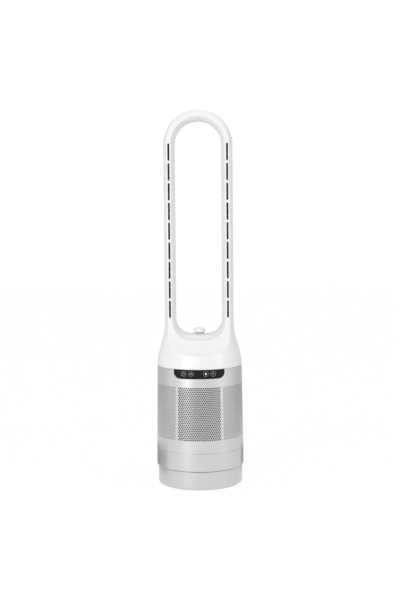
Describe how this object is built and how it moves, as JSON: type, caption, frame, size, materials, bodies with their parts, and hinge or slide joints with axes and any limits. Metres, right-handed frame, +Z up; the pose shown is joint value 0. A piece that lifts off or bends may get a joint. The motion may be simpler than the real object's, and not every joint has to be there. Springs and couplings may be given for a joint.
{
  "type": "bladeless fan",
  "caption": "Bladeless tower fan: a tall open loop nozzle on a perforated round body with a display and a swivel base.",
  "frame": {"origin": "centre of the underside, where the rubber feet stand", "axes": "+Z up through the loop, -Y out of the front with the display, +X to the right seen from the front"},
  "size_m": [0.2222, 0.2222, 0.95],
  "materials": {
    "white_shell": "smooth satin white",
    "silver_band": "vertically brushed satin silver",
    "display_glass": "polished black",
    "dark_filter": "matte dark mesh",
    "filter_paper": "matte pleated",
    "inner_plastic": "matte moulded",
    "black_plastic": "matte moulded",
    "blade_plastic": "matte moulded",
    "steel": "machined",
    "weight_iron": "rough cast",
    "gear_plastic": "matte moulded",
    "board_green": "satin laminate",
    "soft_rubber": "matte"
  },
  "bodies": {
    "plinth": {"plinth_shell": "silver_band", "base_plate": "black_plastic", "ballast_ring": "weight_iron", "foot_1": "soft_rubber", "foot_2": "soft_rubber", "foot_3": "soft_rubber", "foot_4": "soft_rubber", "foot_5": "soft_rubber", "foot_6": "soft_rubber", "power_inlet": "black_plastic", "pivot_post": "inner_plastic", "pivot_washer": "gear_plastic", "slide_ring": "black_plastic", "oscillation_motor": "steel", "motor_bracket": "inner_plastic"},
    "pinion": {"drive_pinion": "gear_plastic"},
    "tower": {"turntable": "inner_plastic", "sector_gear": "gear_plastic", "lower_band": "silver_band", "main_board": "board_green", "main_housing": "silver_band", "display_window": "display_glass", "display_frame": "black_plastic", "control_board": "board_green", "front_prefilter": "dark_filter", "side_prefilter_right": "dark_filter", "side_prefilter_left": "dark_filter", "inner_cage": "inner_plastic", "top_deck": "inner_plastic", "impeller_housing": "inner_plastic", "isolator_ring": "soft_rubber", "fan_motor": "steel", "diffuser": "inner_plastic", "neck_gasket": "soft_rubber", "loop_front_shell": "white_shell", "loop_rear_shell": "white_shell", "nozzle_guide_left": "black_plastic", "nozzle_guide_right": "black_plastic", "knob_bush": "gear_plastic"},
    "blower": {"impeller": "blade_plastic", "rotor_shaft": "steel", "impeller_nut": "steel"},
    "knob": {"lock_knob": "white_shell", "knob_shaft": "steel", "latch_bar": "steel"},
    "filter": {"rear_filter_cover": "silver_band", "filter_media": "filter_paper", "filter_cap_low": "black_plastic", "filter_cap_high": "black_plastic"}
  },
  "joints": [
    {"name": "oscillation", "type": "hinge", "parent": "plinth", "child": "tower", "pos_m": [0, 0, 0.052], "axis": [0, 0, 1], "range_deg": [-40, 40]},
    {"name": "pinion_spin", "type": "hinge", "parent": "plinth", "child": "pinion", "pos_m": [0.05, 0, 0.0485], "axis": [0, 0, 1], "range_deg": [-165, 165]},
    {"name": "impeller_spin", "type": "hinge", "parent": "tower", "child": "blower", "pos_m": [0, 0, 0.158], "axis": [0, 0, 1], "continuous": true},
    {"name": "knob_turn", "type": "hinge", "parent": "tower", "child": "knob", "pos_m": [0, 0, 0.392], "axis": [0, 0, 1], "range_deg": [0, 90]},
    {"name": "cover_pull", "type": "slide", "parent": "tower", "child": "filter", "axis": [0, 1, 0], "range_m": [0, 0.13]}
  ],
  "couplings": [
    {"joint": "pinion_spin", "follows": "oscillation", "ratio": -4}
  ]
}
